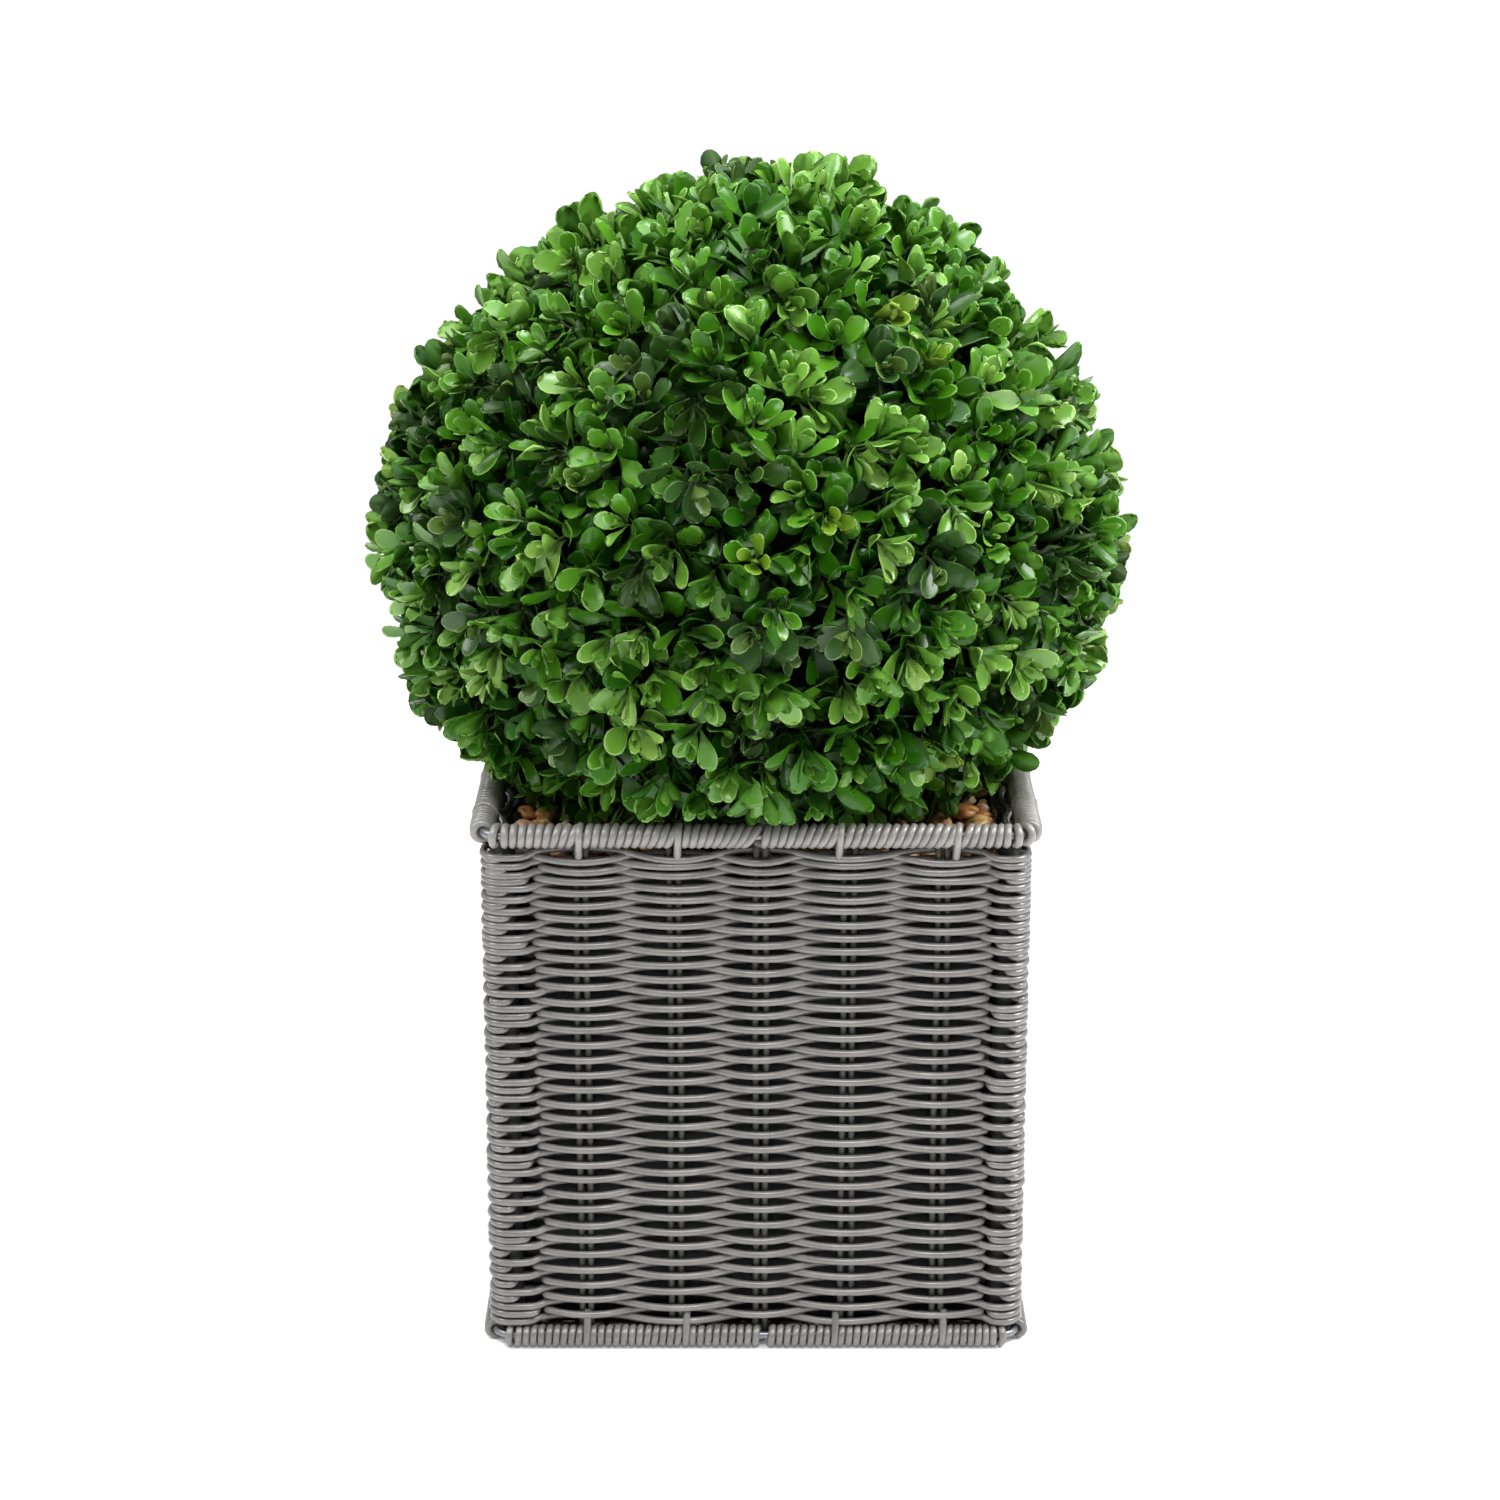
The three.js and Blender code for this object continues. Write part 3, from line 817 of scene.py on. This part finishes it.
def leaf_template(rim):
    """One leaf: stations along it, places across, and faces by slot.

    Each point is along (0 to 1), across (in half widths) and up (in thicknesses). Slots are
    0 foot, 1 blade, 2 rim and 3 underside. The rim is a paler band round the blade, painted light
    through the thin edge.
    """
    stations = np.array([0.15, 0.36, 0.55, 0.73, 0.88, 0.97])
    power = 1.0 - 0.5 * stations
    widths = np.maximum(np.sin(np.pi * stations ** 1.9) ** power, 0.17)
    points, faces = [(0.0, 0.0, 0.0), (1.0, 0.0, 0.0)], []

    def numbered(*columns):
        """Adds points and returns their numbers."""
        points.extend(np.column_stack(np.broadcast_arrays(*columns)))
        return list(range(len(points) - len(columns[0]), len(points)))

    left, right = numbered(stations, widths, 0.0), numbered(stations, -widths, 0.0)
    spine_top, spine_low = numbered(stations, 0.0, 0.5), numbered(stations, 0.0, -0.5)
    # a paler rim round the blade: painted light through the leaf's thin edge
    if rim:
        inner_u, inner_w = stations * 0.965 + 0.006, widths * 0.86
        inner_left, inner_right = numbered(inner_u, inner_w, 0.32), numbered(inner_u, -inner_w, 0.32)
        tip, foot = numbered([0.965, 0.03], 0.0, [0.32, 0.25])
        loop_out = [0] + right + [1] + left[::-1]
        loop_in = [foot] + inner_right + [tip] + inner_left[::-1]
        size = len(loop_out)
        for i in range(size):
            j = (i + 1) % size
            slot = 2 if 1 < i < size - 2 else 0
            faces.append((loop_out[i], loop_out[j], loop_in[j], slot))
            faces.append((loop_out[i], loop_in[j], loop_in[i], slot))
    else:
        inner_left, inner_right, tip, foot = left, right, 1, 0
    for number, face in enumerate(strips(inner_left, inner_right, spine_top, foot, tip)):
        faces.append(face + (0 if number < 6 else 1,))
    faces += [(a, c, b, 3) for a, b, c in strips(left, right, spine_low, 0, 1)]
    faces = np.array(faces)
    return np.array(points), faces[:, :3], faces[:, 3]


def add_leaves(shape, template, leaves):
    """Adds a stack of leaves, each a row of root, way along, face, length, width, cup and bend."""
    points, faces, slots = template
    root, along, face = leaves[:, 0:3], leaves[:, 3:6], leaves[:, 6:9]
    length, width, cup, bend = leaves[:, 9], leaves[:, 10], leaves[:, 11], leaves[:, 12]
    side = unit(np.cross(face, along))
    u, v, up = points[:, 0], points[:, 1], points[:, 2]
    lift = cup[:, None] * (v ** 2) * width[:, None] / 2
    lift = lift + bend[:, None] * length[:, None] * (u ** 2 - 0.35 * u)
    lift = lift + up * LEAF_THICK * np.sin(np.pi * np.clip(u * 0.93 + 0.06, 0, 1)) ** 0.4
    made = (
        root[:, None]
        + along[:, None] * (u * length[:, None])[..., None]
        + side[:, None] * (v * width[:, None] / 2)[..., None]
        + face[:, None] * lift[..., None]
    )
    count = len(points)
    table = faces[None] + (np.arange(len(leaves)) * count)[:, None, None]
    shape.add(made, table.reshape(-1, 3), np.tile(slots, len(leaves)))


def twig_path(start, end, start_way, end_way, steps):
    """A smooth curve from start to end that leaves and arrives along the given ways."""
    share = np.linspace(0, 1, steps)[:, None]
    pull = np.linalg.norm(end - start) * 0.45
    a, b = start + start_way * pull, end - end_way * pull
    return (
        (1 - share) ** 3 * start
        + 3 * (1 - share) ** 2 * share * a
        + 3 * (1 - share) * share ** 2 * b
        + share ** 3 * end
    )


# The tints: name, blade, rim and underside, as sRGB colours; the first six from light to dark.
# These six are lighter and darker copies of one green: partly the leaves' own spread from young
# to old, partly painted shade for leaves that lie deeper or lower. The paler rims are painted
# light through the leaves' thin edges.
TINTS = (
    ("fresh", (124, 164, 69), (162, 194, 115), (100, 138, 55)),
    ("bright", (101, 151, 50), (144, 181, 96), (81, 126, 41)),
    ("mid", (77, 132, 29), (118, 163, 70), (64, 109, 24)),
    ("leafy", (54, 109, 14), (91, 139, 48), (46, 90, 13)),
    ("deep", (34, 87, 5), (62, 113, 30), (31, 70, 8)),
    ("shade", (20, 62, 2), (42, 86, 16), (20, 50, 3)),
    ("sage", (82, 112, 46), (124, 146, 90), (70, 93, 40)),
    ("slate", (50, 83, 35), (92, 122, 71), (44, 72, 29)),
    ("olive", (98, 136, 30), (138, 166, 66), (82, 108, 28)),
    ("dusk", (42, 73, 22), (85, 116, 57), (38, 63, 19)),
)
TINT_NUMBERS = {tint[0]: number for number, tint in enumerate(TINTS)}
DULLER_TINTS = ("leafy", "deep", "shade", "slate", "dusk")


def tint_materials(name, blade, rim, under):
    foot = tuple(0.8 * value for value in blade)
    gloss = {"Specular_IOR_Level": 0.34 if name in DULLER_TINTS else 0.52}
    return [
        material(f"leaf_{name}_foot", foot, 0.32, **gloss),
        material(f"leaf_{name}", blade, 0.23, **gloss),
        # the rim's paler colour is painted light through the thin edge
        material(f"leaf_{name}_rim", rim, 0.3, **gloss),
        material(f"leaf_{name}_under", under, 0.5, Specular_IOR_Level=0.2),
    ]


def pick_tint(draw, mood, tier, height):
    """The number of a leaf's tint, from its rosette's mood and height on a unit ball and its tier."""
    if mood == "grey":
        return TINT_NUMBERS["sage" if tier < 2 else "slate"]
    if mood == "olive":
        return TINT_NUMBERS["olive" if tier < 3 else "leafy"]
    if mood == "dusk":
        return TINT_NUMBERS["dusk"]
    start = {"young": 0, "usual": 1, "old": 2, "shaded": 3}[mood]
    # the steps make deeper tiers and lower rosettes darker and the top lighter: painted shade
    steps = HIGH_STEPS if height > HIGH_PART else LOW_STEPS if height < LOW_PART else USUAL_STEPS
    return min(start + steps[tier] + (draw.uniform() < 0.3), TINT_NUMBERS["shade"])


def spread_over_ball(count, half_step, jitter, draw):
    """Directions spread over a ball by the golden angle, each shifted a little."""
    number = np.arange(count) + half_step
    z = 1 - 2 * number / count
    r = np.sqrt(np.clip(1 - z * z, 0, 1))
    tips = np.column_stack([r * np.cos(number * GOLDEN), r * np.sin(number * GOLDEN), z])
    gap = math.sqrt(4 * math.pi / count)
    return unit(tips + draw.uniform(-1, 1, tips.shape) * gap * jitter)


def gaps_between(taken, count, draw):
    """Directions that lie farthest from those taken and from one another."""
    offered = spread_over_ball(4000, 0.3, 0.2, draw)
    nearest = (offered @ taken.T).max(axis=1)
    chosen = []
    for _ in range(count):
        best = int(np.argmin(nearest))
        chosen.append(offered[best])
        nearest = np.maximum(nearest, offered @ offered[best])
    return np.array(chosen)


def bulge(tip):
    """How far the ball stands out or in along a direction.

    It is fuller about its middle, drawn in below, on its shoulders and at its upper right,
    and a little lumpy.
    """
    low = 4.5 * math.exp(-(((tip[2] + 0.15) / 0.45) ** 2)) - 3.8 * min(max((0.05 - tip[2]) / 0.2, 0), 1)
    shoulder = -4.5 * math.exp(-(((tip[2] - 0.72) / 0.2) ** 2)) * (1 - 0.5 * tip[0])
    lumps = math.sin(5 * tip[0] + 1.0) + math.sin(6 * tip[1] + 4.0) + math.sin(7 * tip[2] + 5 * tip[0])
    right = -6.0 * math.exp(-(((tip[2] - 0.48) / 0.26) ** 2)) * max(tip[0], 0)
    return (low + shoulder + right + 1.1 * lumps) * MM


def hung(along, face, tip, amount, aside):
    """Turns a leaf to hang down outside the ball like a roof's tile, the more the larger amount is.

    aside is how far it then points to one side.
    """
    down = unit(np.array([0, 0, -1.0]) + tip * tip[2])
    along = unit(along + amount * (0.5 * tip + 0.8 * down + aside * np.cross(tip, down)))
    face = face + amount * 1.5 * tip
    return along, unit(face - along * (face @ along))


def rosette(draw, top, axis, size, tiers, mood, tip):
    """The leaves of one rosette: their rows of numbers, their templates and their tints."""
    amount = HANG * min(max(-tip[2] / 0.5, 0), 1)
    across = unit(np.cross(axis, (0.31, 0.52, 0.79)))
    other = np.cross(axis, across)
    turn = draw.uniform(0, np.pi)
    rows, kinds, tints = [], [], []
    for tier in tiers:
        below, lean, length, share = TIERS[tier]
        for half in range(2 if tier < 5 else 1):
            about = turn + tier * np.pi / 2 + half * np.pi + draw.normal() * 0.2
            angle = math.radians(lean * (1 + 0.6 * amount) + draw.normal() * 9)
            outward = np.cos(about) * across + np.sin(about) * other
            along = np.cos(angle) * axis + np.sin(angle) * outward
            face = np.sin(angle) * axis - np.cos(angle) * outward
            along, face = hung(along, face, tip, amount, draw.normal() * 1.0)
            twist = draw.normal() * 0.28
            face = unit(face * np.cos(twist) + np.cross(face, along) * np.sin(twist))
            long = length * size * MM * draw.uniform(0.88, 1.1)
            wide = long * share * draw.uniform(0.88, 1.12)
            root = top - axis * below * size * MM + outward * 0.3 * MM
            rows.append(np.concatenate([
                root, along, face,
                [long, wide, draw.uniform(0.2, 0.6), draw.uniform(-0.06, 0.24) + 0.08 * amount]]))
            kinds.append(0 if tier in FINE_TIERS or (tier == 4 and amount > 0) else 1)
            tints.append(pick_tint(draw, mood, tier, tip[2]))
    return np.array(rows), kinds, tints


def leaf_is_clear(rows):
    """True for each leaf clear of the planter and at most LEAF_PAST outside the ball's reach."""
    root, along, face = rows[:, 0:3], rows[:, 3:6], rows[:, 6:9]
    long, wide = rows[:, 9:10], rows[:, 10:11]
    side = np.cross(face, along)
    middle = root + along * long * 0.65
    tests = np.stack([root + along * long, middle + side * wide / 2, middle - side * wide / 2, middle])
    near = np.linalg.norm(tests - BALL_CENTRE, axis=-1).max(axis=0) < BALL_RADIUS + LEAF_PAST
    return clear_of_planter(tests).all(axis=0) & near


def foliage():
    """All leaves, joined by tint, and the twigs, without those that would touch the planter."""
    draw = np.random.RandomState(SEED + 6)
    mains = sprig_directions()
    templates = (leaf_template(True), leaf_template(False))
    sorted_leaves = {(tint, kind): [] for tint in range(len(TINTS)) for kind in (0, 1)}
    twigs = Shape()
    for way in mains:
        start = BALL_CENTRE + way * (FRAME_RADIUS - 2 * MM)
        end = BALL_CENTRE + way * MAIN_TWIG_END
        if clear_of_planter(end[None])[0]:
            side = unit(np.cross(way, (0.3, 0.5, 0.8)))
            twigs.tube(np.linspace(start, end, 4), np.linspace(1.7, 1.1, 4) * MM, 6, side)
    outer = spread_over_ball(ROSETTES, 0.5, 0.24, draw)
    more = gaps_between(outer, MORE_LOW, draw)
    outer = np.concatenate([outer, more[(more[:, 2] < 0) & (more[:, 2] > -0.8)]])
    inner = gaps_between(outer, FILLERS, draw)
    for number, tip in enumerate(np.concatenate([outer, inner])):
        filler = number >= len(outer)
        nearest = mains[np.argmax(mains @ tip)]
        droop = DROOP * (0.7 - np.clip(tip[2], 0, 0.7))
        axis = unit(tip + 0.3 * draw.normal(size=3) - np.array([0, 0, droop]))
        axis[2] = max(axis[2], LOWEST_FACING)
        axis = unit(axis)
        size = draw.uniform(0.84, 1.14) * (1.16 if tip[2] < LOW_PART else 1.12 if tip[2] > HIGH_PART else 1)
        reach = BALL_RADIUS + 1.0 * MM + bulge(tip) - 9.5 * MM * draw.uniform() ** 1.3
        tiers = range(1 if draw.uniform() < 0.15 else 0, len(TIERS))
        # below LOW_PART the moods run darker, a painted shade
        mood = draw.choice(MOODS, p=LOW_MOODS if tip[2] < LOW_PART else USUAL_MOODS)
        if filler:
            reach, tiers = reach - draw.uniform(7, 14) * MM, (2, 3, 4)
            # fillers take a darker mood as painted shade deep between the rosettes, a lighter one at the top
            # where light falls
            mood = "old" if tip[2] > HIGH_PART else "shaded"
        state = draw.get_state()
        for attempt in range(7):
            draw.set_state(state)
            back = attempt * 5 * MM
            top = BALL_CENTRE + tip * (reach - back) - axis * 9 * size * MM
            rows, kinds, tints = rosette(draw, top, axis, size, tiers, mood, tip)
            clear = leaf_is_clear(rows)
            if clear.mean() > 0.7:
                break
        for row, kind, tint, kept in zip(rows, kinds, tints, clear):
            if kept:
                sorted_leaves[tint, kind].append(row)
        fork = BALL_CENTRE + nearest * draw.uniform(*FORKS) * MM
        path = twig_path(fork, top, unit(nearest + 0.5 * tip), axis, 6)
        if clear.any() and clear_of_planter(path).all():
            twigs.tube(path, np.linspace(0.9, 0.6, 6) * MM, 5, unit(np.cross(axis, (0.3, 0.5, 0.8))))
    pieces = []
    for tint, (name, blade, rim, under) in enumerate(TINTS):
        shape = Shape()
        for kind, template in enumerate(templates):
            leaves = sorted_leaves[tint, kind]
            if leaves:
                add_leaves(shape, template, np.array(leaves))
        if shape.count:
            pieces.append(shape.piece(f"leaves_{name}", tint_materials(name, blade, rim, under)))
    green_twig = material("twig", (38, 58, 20), 0.5, Specular_IOR_Level=0.2)
    mottle(green_twig, (30, 46, 16), (48, 70, 26), 300)
    pieces.append(twigs.piece("twigs", [green_twig]))
    return pieces


def ball_frame():
    """The moulded ball inside, faintly ribbed, cut flat above the gravel."""
    points, faces = ball_of_faces(4)
    shape = Shape()
    ribs = 1 - 0.02 * np.clip(np.sin(points @ (9.0 * np.eye(3))).prod(axis=1) * 3, 0, 1)
    made = points * (FRAME_RADIUS * ribs)[:, None] + BALL_CENTRE
    made[:, 2] = np.maximum(made[:, 2], BALL_LOW[2] + 0.4 * MM)
    shape.add(made, faces)
    # The frame's own dark green plastic, made near black as painted shade deep inside the ball.
    inner = material("ball_frame", (8, 16, 5), 0.8, Specular_IOR_Level=0.1)
    mottle(inner, (5, 11, 3), (12, 24, 7), 60)
    bump(inner, 400, 0.5, 0.001)
    return shape.piece("ball_frame", [inner])


# ---- the setting
def studio():
    """A dim room above the horizon and white below it, past the floor's edge."""
    world = bpy.data.worlds.new("studio")
    world.use_nodes = True
    tree = world.node_tree
    place = tree.nodes.new("ShaderNodeTexCoord")
    parts = tree.nodes.new("ShaderNodeSeparateXYZ")
    tree.links.new(place.outputs["Generated"], parts.inputs["Vector"])
    sky = ramp_in(tree, parts.outputs["Z"], (0.0, (1, 1, 1, 1)), (0.12, (0.42, 0.42, 0.42, 1)))
    tree.links.new(sky, tree.nodes["Background"].inputs["Color"])
    tree.nodes["Background"].inputs["Strength"].default_value = 1.05
    return world


def setting():
    """The pale floor, the soft light and the camera at the photograph's angle."""
    scene = bpy.context.scene
    floor_mesh = bpy.data.meshes.new("floor")
    far = 0.95
    square = [(-far, -far, 0), (far, -far, 0), (far, far, 0), (-far, far, 0)]
    floor_mesh.from_pydata(square, [], [(0, 1, 2, 3)])
    floor = bpy.data.objects.new("floor", floor_mesh)
    pale = {"Base_Color": (0.88, 0.88, 0.88, 1), "Emission_Color": (1, 1, 1, 1)}
    pale |= {"Emission_Strength": 0.13, "Specular_IOR_Level": 0.1}
    floor_mesh.materials.append(material("floor", (255, 255, 255), 0.9, **pale))
    scene.collection.objects.link(floor)
    scene.world = studio()
    for name, place, size, power in (
        ("softbox_top", (0.1, 0.05, 2.3), 3.0, 91),
        ("softbox_front", (0.1, -1.25, 1.8), 0.4, 10),
        ("softbox_left", (-1.2, -0.4, 1.3), 0.6, 11),
        ("softbox_right", (1.3, -0.25, 1.3), 0.8, 29),
    ):
        light = bpy.data.lights.new(name, "AREA")
        light.size = size
        light.energy = power
        lamp = bpy.data.objects.new(name, light)
        lamp.location = place
        aim = np.array([0, 0, 0.3]) - np.array(place)
        pitch = math.atan2(math.hypot(aim[0], aim[1]), -aim[2])
        lamp.rotation_euler = (pitch, 0, math.atan2(-aim[0], aim[1]))
        scene.collection.objects.link(lamp)

    camera = bpy.data.cameras.new("camera")
    camera.sensor_width = 36
    camera.lens = 86.4
    seat = bpy.data.objects.new("camera", camera)
    seat.location = (-0.0025, -1.540, 0.7076)
    seat.rotation_euler = (math.radians(90 - 17), 0, 0)
    scene.collection.objects.link(seat)
    scene.camera = seat
    scene.view_settings.view_transform = "Standard"


# ---- putting it together
setting()
CANE_FINISH = cane_material()
# the rim's cane is the wall's cane made lighter as painted light
LIT_RIM_FINISH = lit_rim_material()
SHADED_STAKE_FINISH = shaded_stake_material()
POST_FINISH = post_material()
WIRE_FINISH = wire_material()

for woven in woven_wall():
    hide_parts("woven_wall")

rim = wrapped_border(
    "rim_wrapping", LIT_RIM_FINISH, WRAP_CANE, RIM_HALF, RIM_MIDDLE, RIM_SECTION, RIM_STOPS, RIM_LEANS, RIM_BARE)
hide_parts("rim_border")
foot = wrapped_border(
    "foot_wrapping", CANE_FINISH, FOOT_CANE, HALF, BASE_MIDDLE, BASE_SECTION, FOOT_LOOPS, FOOT_LEANS,
    FOOT_BARE)
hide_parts("base_border")
for ends in (
    upright_ends("rim_ends", LIT_RIM_FINISH, RIM_HALF, RIM_LOOPS, RIM_SECTION, RIM_MIDDLE, 1),
    upright_ends("foot_ends", CANE_FINISH, HALF, FOOT_LOOPS, BASE_SECTION, BASE_MIDDLE, -1),
):
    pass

bottom = woven_bottom()
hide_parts("planter_floor")
lined = liner()
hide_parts("inner_pot")
for stony in (pebbles(), gravel_bed()):
    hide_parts("gravel")
bark = stem()
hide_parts("stem")
for leafy in foliage() + [ball_frame()]:
    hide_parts("foliage_ball")
